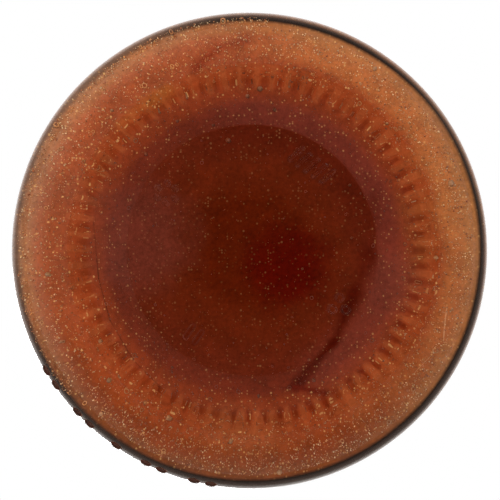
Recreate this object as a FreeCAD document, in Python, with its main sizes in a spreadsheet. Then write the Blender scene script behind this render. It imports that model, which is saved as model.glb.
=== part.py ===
"""Squat glass jar of soup base, shut with a steel lug lid, as a parametric FreeCAD document.

The jar stands upright: +Z runs from the base to the lid, and the origin is on the jar's axis at the
plane it rests on. Sizes are millimetres. Every driving size is one cell of the sheet, and each piece
reads the same cells as the piece it seats on.
"""

import FreeCAD
import Part
import os

import Sketcher

SHEET = "Sizes"

# Alias, value (millimetres, degrees or a count), and what it drives.
SIZES = [
    ("BodyDiameter", 73.0, "widest outside diameter, at the two contact rings"),
    ("JarHeight", 80.0, "height of the glass, from the resting plane to the lip"),
    ("WallThickness", 2.4, "glass at the label panel"),
    ("BaseThickness", 4.2, "glass at the middle of the base"),
    ("PushUp", 3.6, "rise of the base plate above the resting plane"),
    ("PlateRadius", 19.0, "edge of the base plate inside the push-up"),
    ("PlateCrown", 0.5, "rise of the base plate's middle over its edge"),
    ("PlateFillet", 1.2, "round at the edge of the base plate"),
    ("BearingInner", 25.2, "inner edge of the bearing ring"),
    ("BearingFillet", 1.4, "round between the bearing ring and the push-up"),
    ("HeelRadius", 7.6, "outside round between the bearing ring and the wall"),
    ("FloorRadius", 24.0, "edge of the inner floor"),
    ("FloorDrop", 1.6, "fall of the inner floor towards the wall"),
    ("InnerHeelRadius", 7.0, "inside round between the floor and the wall"),
    ("KnurlCount", 67, "crescents round the bearing ring"),
    ("KnurlCentre", 26.4, "radius of the ring of crescents"),
    ("KnurlLength", 3.4, "length of a crescent across the ring, at the bearing face"),
    ("KnurlHeight", 0.4, "how far the crescents stand out of the bearing face"),
    ("KnurlBury", 0.8, "bearing face to the axis that a crescent is turned about"),
    ("DotRadius", 0.85, "radius of a heel dot"),
    ("DotHeight", 0.55, "how far a heel dot stands out of the heel"),
    ("DotLevel", 5.8, "height of the row of heel dots"),
    ("DotStart", 280.0, "angle of the first place in the row of heel dots"),
    ("DotPitch", 4.13, "angle between places in the row of heel dots"),
    ("LabelRecess", 0.5, "depth of the label panel"),
    ("LabelBottom", 12.6, "lower edge of the label panel"),
    ("LabelBevel", 1.2, "height of the bevel at each edge of the label panel"),
    ("UpperRing", 7.0, "label panel's upper edge to the shoulder's corner"),
    ("ShoulderRadius", 6.2, "outside round of the shoulder"),
    ("ShoulderSlope", 1.8, "rise of the shoulder from its corner to the neck"),
    ("ShoulderGlass", 2.0, "how far the shoulder's inside lies below its outside"),
    ("ShoulderInset", 5.2, "how far the neck ring stands inside the body"),
    ("InnerShoulderRadius", 3.0, "inside rounds of the shoulder"),
    ("NeckRingHeight", 2.2, "height of the transfer ring under the lid"),
    ("NeckRingDepth", 1.1, "how far the transfer ring stands out of the neck"),
    ("NeckFillet", 0.5, "rounds of the transfer ring"),
    ("FinishHeight", 8.8, "height of the neck above the transfer ring"),
    ("FinishWall", 2.7, "glass at the mouth"),
    ("LipFillet", 0.8, "rounds of the lip"),
    ("LugCount", 4, "threads on the neck, and lugs on the lid"),
    ("ThreadDepth", 1.2, "how far a thread stands out of the neck"),
    ("ThreadWidth", 2.0, "height of a thread's section at the neck"),
    ("ThreadDrop", 3.9, "lip to the middle of a thread's high end"),
    ("ThreadPitch", 9.0, "rise of a thread in a full turn"),
    ("ThreadSweep", 60.0, "angle that a thread covers"),
    ("ThreadSeat", 0.15, "room between a lug of the lid and the thread above it"),
    ("LidMetal", 0.45, "lacquered sheet of the lid"),
    ("LidClearance", 0.3, "room between the threads and the lid's rolled edge"),
    ("LidSkirt", 9.6, "height of the lid from its top ring to its lowest edge"),
    ("LidCorner", 1.6, "outside round between the lid's top and skirt"),
    ("HemWidth", 1.7, "width and height of the rolled edge"),
    ("HemFillet", 0.7, "rounds of the rolled edge"),
    ("LidLugSweep", 22.0, "angle that a lug of the lid covers"),
    ("LidLugReach", 1.3, "how far a lug reaches in from the rolled edge"),
    ("SealThickness", 0.9, "sealing ring between the lid and the lip"),
    ("SealOverlap", 0.4, "how far the sealing ring passes the lip on each side"),
    ("PanelDrop", 1.1, "depth of the lid's panel below its top ring"),
    ("PanelBevel", 0.9, "width of the slope down to the panel"),
    ("PanelMargin", 4.0, "width of the panel's low outer step"),
    ("PanelStep", 0.5, "rise and width of the slope to the panel's middle"),
    ("ButtonRadius", 10.0, "flat of the safety button in the middle of the lid"),
    ("ButtonBevel", 2.0, "width of the slope round the safety button"),
    ("ButtonDrop", 0.6, "dip of the safety button while the jar is sealed"),
    ("HeadSpace", 19.5, "lip to the edge of the soup base"),
    ("TopDip", 0.7, "dip of the soup base's top towards the middle"),
    ("TopRim", 6.0, "width of the soup base's flat edge round that dip"),
]

# Places in the row of heel dots that hold a dot.
HEEL_DOTS = (0, 1, 3, 4, 6, 8, 9, 11, 12)

# Radii and heights that several pieces share, written once as expressions of the cells above.
BODY_R = "{BodyDiameter} / 2"
INNER_R = f"({BODY_R} - {{LabelRecess}} - {{WallThickness}})"
NECK_TOP = "({JarHeight} - {FinishHeight})"
NECK_ROOT = f"({NECK_TOP} - {{NeckRingHeight}})"
SHOULDER_CORNER = f"({NECK_ROOT} - {{ShoulderSlope}})"
LABEL_TOP = f"({SHOULDER_CORNER} - {{UpperRing}})"
NECK_RING_R = f"({BODY_R} - {{ShoulderInset}})"
NECK_R = f"({NECK_RING_R} - {{NeckRingDepth}})"
BORE_R = f"({NECK_R} - {{FinishWall}})"
FLOOR_TOP = "({PushUp} + {BaseThickness})"
FLOOR_EDGE = f"({FLOOR_TOP} - {{FloorDrop}})"
FILL_TOP = "({JarHeight} - {HeadSpace})"
THREAD_LOW = "({JarHeight} - {ThreadDrop} - {ThreadPitch} * {ThreadSweep} / 360)"
LID_R = f"({NECK_R} + {{ThreadDepth}} + {{LidClearance}} + {{HemWidth}})"
LID_TOP = "({JarHeight} + {SealThickness} + {LidMetal})"
LID_BOTTOM = f"({LID_TOP} - {{LidSkirt}})"
PANEL_R = f"({BORE_R} - {{SealOverlap}} - {{LidMetal}} / 2 - {{PanelBevel}})"
PANEL_TOP = f"({LID_TOP} - {{PanelDrop}})"
MIDDLE_TOP = f"({PANEL_TOP} + {{PanelStep}})"
BUTTON_TOP = f"({MIDDLE_TOP} - {{ButtonDrop}})"


def cell(text):
    """The expression with every {Name} written as that cell of the sheet."""
    return text.replace("{", SHEET + ".").replace("}", "")


def make_sheet(document):
    """Fills the sheet that every piece reads."""
    sheet = document.addObject("Spreadsheet::Sheet", SHEET)
    for row, (alias, value, meaning) in enumerate(SIZES, start=1):
        sheet.set(f"A{row}", alias)
        sheet.set(f"B{row}", str(value))
        sheet.setAlias(f"B{row}", alias)
        sheet.set(f"C{row}", meaning)
    document.recompute()


def make_body(document, node):
    """A body that is labelled with its node's name."""
    body = document.addObject("PartDesign::Body", node.title().replace("_", ""))
    body.Label = node
    return body


def origin_feature(body, role):
    """One of a body's own origin planes or axes."""
    return next(item for item in body.Origin.OriginFeatures if item.Role == role)


def new_sketch(body, name):
    """An empty sketch on the body's upright XZ plane."""
    sketch = body.newObject("Sketcher::SketchObject", name)
    sketch.AttachmentSupport = [(origin_feature(body, "XZ_Plane"), "")]
    sketch.MapMode = "FlatFace"
    return sketch


def bind(sketch, kind, item, end, text):
    """Holds one end of a sketch's line or arc at an expression's distance from the origin."""
    point = sketch.getPoint(item, end)
    start = point.x if kind == "DistanceX" else point.y
    index = sketch.addConstraint(Sketcher.Constraint(kind, -1, 1, item, end, start))
    sketch.setExpression(f"Constraints[{index}]", cell(text))


def pin(sketch, item, end, across, up):
    """Holds one end of a sketch's line at (across, up), both expressions of the sheet."""
    for kind, text, axis in (("DistanceX", across, -2), ("DistanceY", up, -1)):
        if text == "0":
            sketch.addConstraint(Sketcher.Constraint("PointOnObject", item, end, axis))
        else:
            bind(sketch, kind, item, end, text)


def section(body, name, corners):
    """A closed polygon of (radius, height) corners on the body's upright plane."""
    sketch = new_sketch(body, name)
    count = len(corners)
    rough = [FreeCAD.Vector(10 + i, 5 + (i * i) % 7 + i, 0) for i in range(count)]
    for i in range(count):
        sketch.addGeometry(Part.LineSegment(rough[i], rough[(i + 1) % count]), False)
    for i in range(count):
        sketch.addConstraint(Sketcher.Constraint("Coincident", i, 2, (i + 1) % count, 1))
    for i, (across, up) in enumerate(corners):
        pin(sketch, i, 1, across, up)
    body.Document.recompute()
    return sketch


def turn(body, name, sketch, kind="PartDesign::Revolution", angle="360"):
    """Turns a section round the jar's axis, adding to the body or cutting from it."""
    feature = body.newObject(kind, name)
    feature.Profile = sketch
    feature.ReferenceAxis = (sketch, ["V_Axis"])
    feature.setExpression("Angle", cell(angle))
    body.Document.recompute()
    return feature


def ring_edges(feature, sketch, corners):
    """Names of the round edges that these corners of a turned section have made."""
    names = []
    for corner in corners:
        point = sketch.Geometry[corner].StartPoint
        middle = FreeCAD.Vector(0, 0, point.y)
        found = [
            f"Edge{number}"
            for number, edge in enumerate(feature.Shape.Edges, start=1)
            if isinstance(edge.Curve, Part.Circle)
            and edge.Curve.Center.distanceToPoint(middle) < 1e-4
            and abs(edge.Curve.Radius - point.x) < 1e-4
        ]
        if not found:
            raise RuntimeError(f"{sketch.Name}: corner {corner} has no edge on {feature.Name}")
        names += found
    return names


def round_off(body, name, radius, *places):
    """Rounds ring edges; each place is a sketch and the numbers of its corners."""
    base = body.Tip
    names = [edge for sketch, corners in places for edge in ring_edges(base, sketch, corners)]
    feature = body.newObject("PartDesign::Fillet", name)
    feature.Base = (base, names)
    feature.setExpression("Radius", cell(radius))
    body.Document.recompute()


def repeat_round(body, name, feature, count):
    """Repeats a feature evenly round the body's upright axis, and checks that none is lost."""
    pattern = body.newObject("PartDesign::PolarPattern", name)
    pattern.Originals = [feature]
    pattern.Axis = (origin_feature(body, "Z_Axis"), [""])
    pattern.Angle = 360
    body.Tip = pattern
    pattern.setExpression("Occurrences", cell(count))
    body.Document.recompute()
    made = len(pattern.Shape.cut(feature.BaseFeature.Shape).Solids)
    if made != pattern.Occurrences:
        raise RuntimeError(f"{name}: {made} of {pattern.Occurrences} were made")


def add_knurls(body):
    """Crescents round the bearing ring: an arc turned about a level chord buried in the glass."""
    sketch = new_sketch(body, "KnurlArc")
    left, middle, right = (FreeCAD.Vector(x, y, 0) for x, y in ((23.9, 1.2), (27, 2.4), (30.1, 1.2)))
    sketch.addGeometry(Part.Arc(left, middle, right), False)
    sketch.addGeometry(Part.LineSegment(right, left), False)
    sketch.addGeometry(Part.LineSegment(right, left), True)
    # An arc runs anticlockwise, so this one starts at the right end of the chord.
    for first, second in (((0, 1), (1, 1)), ((0, 2), (1, 2)), ((2, 1), (1, 1)), ((2, 2), (1, 2))):
        sketch.addConstraint(Sketcher.Constraint("Coincident", *first, *second))
    depth = "({KnurlHeight} + {KnurlBury})"
    bend = "((({KnurlLength} / 2) ^ 2 + {KnurlHeight} ^ 2) / (2 * {KnurlHeight}))"
    half = f"sqrt({bend} ^ 2 - ({bend} - {depth}) ^ 2)"
    pin(sketch, 1, 1, f"{{KnurlCentre}} + {half}", depth)
    pin(sketch, 1, 2, f"{{KnurlCentre}} - {half}", depth)
    index = sketch.addConstraint(Sketcher.Constraint("Radius", 0, sketch.Geometry[0].Radius))
    sketch.setExpression(f"Constraints[{index}]", cell(bend))
    body.Document.recompute()
    knurl = body.newObject("PartDesign::Revolution", "Knurl")
    knurl.Profile = sketch
    knurl.ReferenceAxis = (sketch, ["Axis0"])
    knurl.Angle = 360
    body.Document.recompute()
    repeat_round(body, "Knurls", knurl, "{KnurlCount}")


def add_heel_dots(body):
    """The row of round dots that mark the mould, on the outside of the heel."""
    rise = "({DotLevel} - {KnurlHeight} - {HeelRadius})"
    surface = f"({BODY_R} - {{HeelRadius}} + sqrt({{HeelRadius}} ^ 2 - {rise} ^ 2))"
    reach = f"({surface} + {{DotHeight}} - {{DotRadius}})"
    for place in HEEL_DOTS:
        dot = body.newObject("PartDesign::AdditiveSphere", f"HeelDot{place}")
        dot.AttachmentSupport = [(origin_feature(body, "XY_Plane"), "")]
        dot.MapMode = "FlatFace"
        angle = f"(({{DotStart}} + {{DotPitch}} * {place}) * 1 deg)"
        # The sphere's own axis points straight out of the wall.
        for path, text in (
            ("Radius", "{DotRadius}"),
            ("AttachmentOffset.Base.x", f"{reach} * cos{angle}"),
            ("AttachmentOffset.Base.y", f"{reach} * sin{angle}"),
            ("AttachmentOffset.Base.z", "{DotLevel}"),
            ("AttachmentOffset.Rotation.Axis.x", f"-sin{angle}"),
            ("AttachmentOffset.Rotation.Axis.y", f"cos{angle}"),
            ("AttachmentOffset.Rotation.Axis.z", "0"),
            ("AttachmentOffset.Rotation.Angle", "90 deg"),
        ):
            dot.setExpression(path, text if path.endswith("Angle") else cell(text))
        body.Document.recompute()


def add_threads(body):
    """Short slanted threads on the neck, which the lugs of the lid pass under."""
    sketch = section(
        body,
        "ThreadSection",
        [
            (f"{NECK_R} - {{ThreadDepth}} / 2", f"{THREAD_LOW} - {{ThreadWidth}} / 2"),
            (NECK_R, f"{THREAD_LOW} - {{ThreadWidth}} / 2"),
            (f"{NECK_R} + {{ThreadDepth}}", f"{THREAD_LOW} - {{ThreadWidth}} / 4"),
            (f"{NECK_R} + {{ThreadDepth}}", f"{THREAD_LOW} + {{ThreadWidth}} / 4"),
            (NECK_R, f"{THREAD_LOW} + {{ThreadWidth}} / 2"),
            (f"{NECK_R} - {{ThreadDepth}} / 2", f"{THREAD_LOW} + {{ThreadWidth}} / 2"),
        ],
    )
    thread = body.newObject("PartDesign::AdditiveHelix", "Thread")
    thread.Profile = sketch
    thread.ReferenceAxis = (sketch, ["V_Axis"])
    thread.Mode = 1
    thread.setExpression("Pitch", cell("{ThreadPitch}"))
    thread.setExpression("Turns", cell("{ThreadSweep} / 360"))
    body.Document.recompute()
    repeat_round(body, "Threads", thread, "{LugCount}")


def make_glass(document):
    """The jar's glass: push-up, bearing ring, heel, label panel, shoulder and finish."""
    body = make_body(document, "jar")
    outside = section(
        body,
        "GlassOutside",
        [
            ("0", "{PushUp}"),
            ("{PlateRadius}", "{PushUp} - {PlateCrown}"),
            ("{BearingInner}", "{KnurlHeight}"),
            (BODY_R, "{KnurlHeight}"),
            (BODY_R, "{LabelBottom} - {LabelBevel}"),
            (f"{BODY_R} - {{LabelRecess}}", "{LabelBottom}"),
            (f"{BODY_R} - {{LabelRecess}}", LABEL_TOP),
            (BODY_R, f"{LABEL_TOP} + {{LabelBevel}}"),
            (BODY_R, SHOULDER_CORNER),
            (NECK_RING_R, NECK_ROOT),
            (NECK_RING_R, NECK_TOP),
            (NECK_R, NECK_TOP),
            (NECK_R, "{JarHeight}"),
            ("0", "{JarHeight}"),
        ],
    )
    turn(body, "GlassTurned", outside)
    round_off(body, "Heel", "{HeelRadius}", (outside, [3]))
    round_off(body, "BearingEdge", "{BearingFillet}", (outside, [2]))
    round_off(body, "PlateEdge", "{PlateFillet}", (outside, [1]))
    round_off(body, "Shoulder", "{ShoulderRadius}", (outside, [8]))
    round_off(body, "RingRounds", "{NeckFillet}", (outside, [9, 10, 11]))
    inside = section(
        body,
        "GlassInside",
        [
            ("0", FLOOR_TOP),
            ("{FloorRadius}", FLOOR_EDGE),
            (INNER_R, FLOOR_EDGE),
            (INNER_R, f"{SHOULDER_CORNER} - {{ShoulderGlass}}"),
            (BORE_R, f"{NECK_ROOT} - {{ShoulderGlass}}"),
            (BORE_R, "{JarHeight}"),
            ("0", "{JarHeight}"),
        ],
    )
    turn(body, "Cavity", inside, "PartDesign::Groove")
    round_off(body, "InnerHeel", "{InnerHeelRadius}", (inside, [2]))
    round_off(body, "InnerShoulder", "{InnerShoulderRadius}", (inside, [3, 4]))
    round_off(body, "Lip", "{LipFillet}", (inside, [5]), (outside, [12]))
    add_threads(body)
    add_heel_dots(body)
    add_knurls(body)
    return body


def make_filling(document):
    """The soup base, which fills the cavity face to face with the glass up to its level."""
    body = make_body(document, "soup_base")
    sketch = section(
        body,
        "FillingSection",
        [
            ("0", FLOOR_TOP),
            ("{FloorRadius}", FLOOR_EDGE),
            (INNER_R, FLOOR_EDGE),
            (INNER_R, FILL_TOP),
            (f"{INNER_R} - {{TopRim}}", FILL_TOP),
            ("0", f"{FILL_TOP} - {{TopDip}}"),
        ],
    )
    turn(body, "FillingTurned", sketch)
    round_off(body, "FillingHeel", "{InnerHeelRadius}", (sketch, [2]))
    return body


def make_lid(document):
    """The steel lid: stepped panel with a safety button, skirt, rolled edge and lugs."""
    body = make_body(document, "lid")
    metal = "{LidMetal}"
    sketch = section(
        body,
        "LidSection",
        [
            ("0", BUTTON_TOP),
            ("{ButtonRadius}", BUTTON_TOP),
            ("{ButtonRadius} + {ButtonBevel}", MIDDLE_TOP),
            (f"{PANEL_R} - {{PanelMargin}} - {{PanelStep}}", MIDDLE_TOP),
            (f"{PANEL_R} - {{PanelMargin}}", PANEL_TOP),
            (PANEL_R, PANEL_TOP),
            (f"{PANEL_R} + {{PanelBevel}}", LID_TOP),
            (LID_R, LID_TOP),
            (LID_R, LID_BOTTOM),
            (f"{LID_R} - {{HemWidth}}", LID_BOTTOM),
            (f"{LID_R} - {{HemWidth}}", f"{LID_BOTTOM} + {{HemWidth}}"),
            (f"{LID_R} - {metal}", f"{LID_BOTTOM} + {{HemWidth}}"),
            (f"{LID_R} - {metal}", f"{LID_TOP} - {metal}"),
            (f"{PANEL_R} + {{PanelBevel}} + {metal} / 2", f"{LID_TOP} - {metal}"),
            (f"{PANEL_R} + {metal} / 2", f"{PANEL_TOP} - {metal}"),
            (f"{PANEL_R} - {{PanelMargin}} - {metal} / 2", f"{PANEL_TOP} - {metal}"),
            (
                f"{PANEL_R} - {{PanelMargin}} - {{PanelStep}} - {metal} / 2",
                f"{MIDDLE_TOP} - {metal}",
            ),
            ("{ButtonRadius} + {ButtonBevel}", f"{MIDDLE_TOP} - {metal}"),
            ("{ButtonRadius}", f"{BUTTON_TOP} - {metal}"),
            ("0", f"{BUTTON_TOP} - {metal}"),
        ],
    )
    turn(body, "LidTurned", sketch)
    round_off(body, "LidCornerOut", "{LidCorner}", (sketch, [7]))
    round_off(body, "LidCornerIn", f"{{LidCorner}} - {metal}", (sketch, [12]))
    round_off(body, "Hem", "{HemFillet}", (sketch, [8, 9, 10]))
    lug_top = f"{THREAD_LOW} - {{ThreadWidth}} / 2 - {{ThreadSeat}}"
    lug_sketch = section(
        body,
        "LugSection",
        [
            (f"{LID_R} - {{HemWidth}} - {{LidLugReach}}", f"{LID_BOTTOM} + {{LidMetal}}"),
            (f"{LID_R} - {{HemWidth}} / 2", f"{LID_BOTTOM} + {{LidMetal}}"),
            (f"{LID_R} - {{HemWidth}} / 2", lug_top),
            (f"{LID_R} - {{HemWidth}} - {{LidLugReach}}", lug_top),
        ],
    )
    lug = turn(body, "LidLug", lug_sketch, angle="{LidLugSweep}")
    repeat_round(body, "LidLugs", lug, "{LugCount}")
    return body


def make_seal(document):
    """The sealing ring, between the underside of the lid and the lip of the glass."""
    body = make_body(document, "seal")
    inner, outer = f"{BORE_R} - {{SealOverlap}}", f"{NECK_R} + {{SealOverlap}}"
    top = "{JarHeight} + {SealThickness}"
    sketch = section(
        body,
        "SealSection",
        [(inner, "{JarHeight}"), (outer, "{JarHeight}"), (outer, top), (inner, top)],
    )
    turn(body, "SealTurned", sketch)
    return body


def check(document, bodies):
    """Stops the build at any object that has failed and at any piece that is not one solid."""
    for item in document.Objects:
        if {"Invalid", "Error"} & set(item.State):
            raise RuntimeError(f"{item.Name} has failed: {item.State}")
    for body in bodies:
        shape = body.Shape
        if shape.isNull() or not shape.isValid() or len(shape.Solids) != 1:
            raise RuntimeError(f"{body.Label} is not one valid solid")


def main():
    """Builds every piece, checks it and writes its solid."""
    document = FreeCAD.newDocument("SoupBaseJar")
    make_sheet(document)
    bodies = [
        make_glass(document),
        make_filling(document),
        make_lid(document),
        make_seal(document),
    ]
    document.recompute()
    check(document, bodies)
    os.makedirs("parts", exist_ok=True)
    for body in bodies:
        body.Shape.exportStep(f"parts/{body.Label}.step")
        print(f"{body.Label}: {body.Shape.Volume:.0f} mm3")


main()
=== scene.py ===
"""Dresses the jar of soup base: clear pressed-and-blown glass, oily paste and a black steel lug lid.

The jar stands on the floor at the origin and +Z is up. Sizes in this script are millimetres in the
jar's own frame, and angles are degrees from +X; every mesh is scaled to metres once, when it becomes
an object. The main camera is under the jar and looks straight up at its base.
"""

import logging
import math
import random
from dataclasses import dataclass, field
from enum import Enum
from functools import partial
from typing import Callable, Optional, Sequence

import bmesh
import bpy
import numpy as np
from mathutils import Matrix, Vector, noise

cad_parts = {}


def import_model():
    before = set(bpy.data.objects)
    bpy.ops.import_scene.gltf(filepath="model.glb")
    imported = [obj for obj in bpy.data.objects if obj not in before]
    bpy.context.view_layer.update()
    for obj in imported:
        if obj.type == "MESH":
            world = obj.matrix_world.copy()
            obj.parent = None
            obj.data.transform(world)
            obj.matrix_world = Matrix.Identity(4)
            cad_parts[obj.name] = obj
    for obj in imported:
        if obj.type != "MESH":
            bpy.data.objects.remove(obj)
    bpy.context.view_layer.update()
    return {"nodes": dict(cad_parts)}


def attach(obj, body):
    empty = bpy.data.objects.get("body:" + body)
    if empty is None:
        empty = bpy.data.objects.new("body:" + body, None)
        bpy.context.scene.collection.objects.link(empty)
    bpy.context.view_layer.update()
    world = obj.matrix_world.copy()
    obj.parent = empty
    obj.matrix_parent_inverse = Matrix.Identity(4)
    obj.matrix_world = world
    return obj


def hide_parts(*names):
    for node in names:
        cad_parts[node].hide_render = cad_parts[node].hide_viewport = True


MM = 0.001
LOG = logging.getLogger("soup_base_jar")
BMesh = bmesh.types.BMesh
BMVert = bmesh.types.BMVert
Material = bpy.types.Material
Node = bpy.types.Node
Socket = bpy.types.NodeSocket
AddNode = Callable[..., Node]
# The setting of a Map Range node that rounds off both of its ends.
EASED = {"interpolation_type": "SMOOTHSTEP"}
# Vertices that lie closer than this, in millimetres, are one.
SAME_PLACE = 0.0005


# Small tools


def linear(code: str) -> tuple[float, float, float, float]:
    """Turns an sRGB hex colour into linear light.

    Args:
        code: the colour as "#rrggbb".

    Returns:
        Linear red, green and blue, and an alpha of 1.
    """
    parts = [int(code[i : i + 2], 16) / 255 for i in (1, 3, 5)]
    light = [c / 12.92 if c <= 0.04045 else ((c + 0.055) / 1.055) ** 2.4 for c in parts]
    return (light[0], light[1], light[2], 1.0)


def smooth(low: float, high: float, value: float) -> float:
    """Rises smoothly from 0 at low to 1 at high."""
    t = min(1.0, max(0.0, (value - low) / (high - low)))
    return t * t * (3 - 2 * t)


def polar(v: BMVert) -> tuple[float, float]:
    """A vertex's distance from the axis, and its angle in radians."""
    return math.hypot(v.co.x, v.co.y), math.atan2(v.co.y, v.co.x)


def widen(v: BMVert, factor: float) -> None:
    """Moves a vertex away from the axis, by a factor of its distance."""
    v.co.x, v.co.y = v.co.x * factor, v.co.y * factor


@dataclass(frozen=True)
class Corner:
    """A corner of a turned piece's section, in millimetres.

    The rounding is the radius there, and step is the longest edge from here to the next corner.
    """

    r: float
    z: float
    rounding: float = 0.0
    step: float = 0.0


def draw_section(bm: BMesh, corners: Sequence[Corner], step: float, chord: float) -> list:
    """Draws a section's line on the XZ plane and rounds its corners.

    Args:
        bm: an empty mesh that the line is added to.
        corners: the section's corners, in order.
        step: the longest edge that is left where a corner names none, in millimetres.
        chord: the longest edge in a rounded corner.

    Returns:
        The line's vertices and edges.
    """
    widest_turn = math.radians(22)
    verts = [bm.verts.new((c.r, 0, c.z)) for c in corners]
    edges = [bm.edges.new(pair) for pair in zip(verts, verts[1:])]
    places = [v.co.copy() for v in verts]
    for i, corner in enumerate(corners):
        if corner.rounding <= 0:
            continue
        turn = (places[i] - places[i - 1]).angle(places[i + 1] - places[i])
        bmesh.ops.bevel(
            bm,
            geom=[verts[i]],
            offset=corner.rounding * math.tan(turn / 2),
            offset_type="OFFSET",
            segments=max(2, math.ceil(turn / widest_turn), math.ceil(turn * corner.rounding / chord)),
            profile=0.5,
            affect="VERTICES",
            material=-1,
        )
    for edge, corner in [(e, c) for e, c in zip(edges, corners) if e.is_valid]:
        cuts = math.ceil(edge.calc_length() / (corner.step or step) - 0.001) - 1
        if cuts > 0:
            bmesh.ops.subdivide_edges(bm, edges=[edge], cuts=cuts)
    return bm.verts[:] + bm.edges[:]


def turn_section(
    bm: BMesh, corners: Sequence[Corner], step: float, chord: float, copies: int, cuts: int
) -> list[BMVert]:
    """Turns a section all the way round the jar's axis, as one spun wedge and its copies.

    Args:
        bm: the mesh that the turned shape is added to.
        corners: the section's corners, in order.
        step: the longest edge along the section, in millimetres.
        chord: the longest edge in a rounded corner.
        copies: how many equal wedges make the round.
        cuts: segments round the axis in one wedge.

    Returns:
        The shape's vertices.
    """
    wedge = bmesh.new()
    line = draw_section(wedge, corners, step, chord)
    bmesh.ops.spin(
        wedge, geom=line, cent=(0, 0, 0), axis=(0, 0, 1), dvec=(0, 0, 0),
        angle=math.tau / copies, steps=cuts, use_merge=False,
    )
    mesh = bpy.data.meshes.new("wedge")
    wedge.to_mesh(mesh)
    wedge.free()
    whole = bmesh.new()
    for k in range(copies):
        known = len(whole.verts)
        whole.from_mesh(mesh)
        whole.verts.ensure_lookup_table()
        turn = Matrix.Rotation(math.tau * k / copies, 3, "Z")
        bmesh.ops.rotate(whole, cent=(0, 0, 0), matrix=turn, verts=whole.verts[known:])
    bmesh.ops.remove_doubles(whole, verts=whole.verts[:], dist=SAME_PLACE)
    whole.to_mesh(mesh)
    whole.free()
    before = set(bm.verts)
    bm.from_mesh(mesh)
    bpy.data.meshes.remove(mesh)
    return [v for v in bm.verts if v not in before]


def refine_ring(bm: BMesh, r: float, z: float, cuts: int) -> None:
    """Splits the open edges round the axis at one radius and height, to meet a finer ring there.

    Args:
        bm: the mesh.
        r: the ring's radius.
        z: the ring's height.
        cuts: new vertices on each edge.
    """

    def near(v: BMVert) -> bool:
        """Whether a vertex lies on the ring."""
        return abs(polar(v)[0] - r) < 0.01 and abs(v.co.z - z) < 0.01

    ring = [e for e in bm.edges if e.is_boundary and all(near(v) for v in e.verts)]
    bmesh.ops.subdivide_edges(bm, edges=ring, cuts=cuts)
    for v in bm.verts:
        if v.is_boundary and near(v):
            widen(v, r / polar(v)[0])


def add_to_scene(name: str, data: bpy.types.ID) -> bpy.types.Object:
    """Puts some data in the scene as an object at the origin.

    Args:
        name: the object's name.
        data: its mesh, lamp or camera data.

    Returns:
        The new object.
    """
    thing = bpy.data.objects.new(name, data)
    bpy.context.scene.collection.objects.link(thing)
    return thing


def to_object(bm: BMesh, name: str, finish: Material, *others: Material) -> bpy.types.Object:
    """Closes a mesh, turns its faces outward, scales it to metres and makes it an object.

    Args:
        bm: the mesh, in millimetres. It is freed.
        name: the piece's name.
        finish: the material of the piece.
        others: the materials of faces whose material index is 1, 2 and so on.

    Returns:
        The new object, at the origin.
    """
    bmesh.ops.remove_doubles(bm, verts=bm.verts[:], dist=SAME_PLACE)
    bmesh.ops.recalc_face_normals(bm, faces=bm.faces[:])
    bmesh.ops.scale(bm, vec=(MM, MM, MM), verts=bm.verts[:])
    mesh = bpy.data.meshes.new(name)
    bm.to_mesh(mesh)
    bm.free()
    mesh.polygons.foreach_set("use_smooth", [True] * len(mesh.polygons))
    for material in (finish, *others):
        mesh.materials.append(material)
    return add_to_scene(name, mesh)


def add_node(
    tree: bpy.types.NodeTree, kind: str, *values: object, inputs: Optional[dict] = None, **settings: object
) -> Node:
    """Adds a node with its settings and its inputs.

    An input takes a value, or a socket to link. A node there stands for its first output.

    Args:
        tree: the node tree.
        kind: the node's type name after "ShaderNode".
        values: the first inputs, in their order.
        inputs: other inputs, by name or number.
        settings: the node's properties.

    Returns:
        The new node.
    """
    node = tree.nodes.new("ShaderNode" + kind)
    for name, value in settings.items():
        setattr(node, name, value)
    for key, value in [*enumerate(values), *(inputs or {}).items()]:
        source = value.outputs[0] if isinstance(value, Node) else value
        if isinstance(source, Socket):
            tree.links.new(source, node.inputs[key])
        else:
            node.inputs[key].default_value = source
    return node


def new_material(name: str) -> tuple[Material, AddNode]:
    """Makes an empty material.

    Args:
        name: the material's name.

    Returns:
        The material, without a node, and what adds nodes to it.
    """
    material = bpy.data.materials.new(name)
    material.use_nodes = True
    material.node_tree.nodes.clear()
    return material, partial(add_node, material.node_tree)


def paint_ramp(ramp: Node, stops: Sequence[tuple[float, Sequence[float]]]) -> None:
    """Gives a Color Ramp node its stops.

    Args:
        ramp: the node.
        stops: places from 0 to 1, each with a linear colour.
    """
    bar = ramp.color_ramp
    bar.interpolation = "EASE"
    for i, (place, colour) in enumerate(stops):
        stop = bar.elements[i] if i < 2 else bar.elements.new(place)
        stop.position = place
        stop.color = colour


# Finishes


@dataclass(frozen=True)
class SodaLimeGlass:
    """Soda-lime container glass, pressed and blown: clear, with the faintest warm grey tint."""

    name: str = "soda_lime_glass"
    tint: str = "#f7f8f4"
    shadow: str = "#f2f2ee"
    ior: float = 1.5

    def make(self) -> Material:
        """Makes the glass, which shadow rays pass so that lamps light what stands behind it.

        Returns:
            The material.
        """
        material, add = new_material(self.name)
        glass = add("BsdfPrincipled", inputs={
            "Base Color": linear(self.tint), "Roughness": 0.0, "IOR": self.ior, "Transmission Weight": 1.0,
        })
        clear = add("BsdfTransparent", linear(self.shadow))
        in_shadow = add("LightPath").outputs["Is Shadow Ray"]
        add("OutputMaterial", add("MixShader", in_shadow, glass, clear))
        return material


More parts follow.
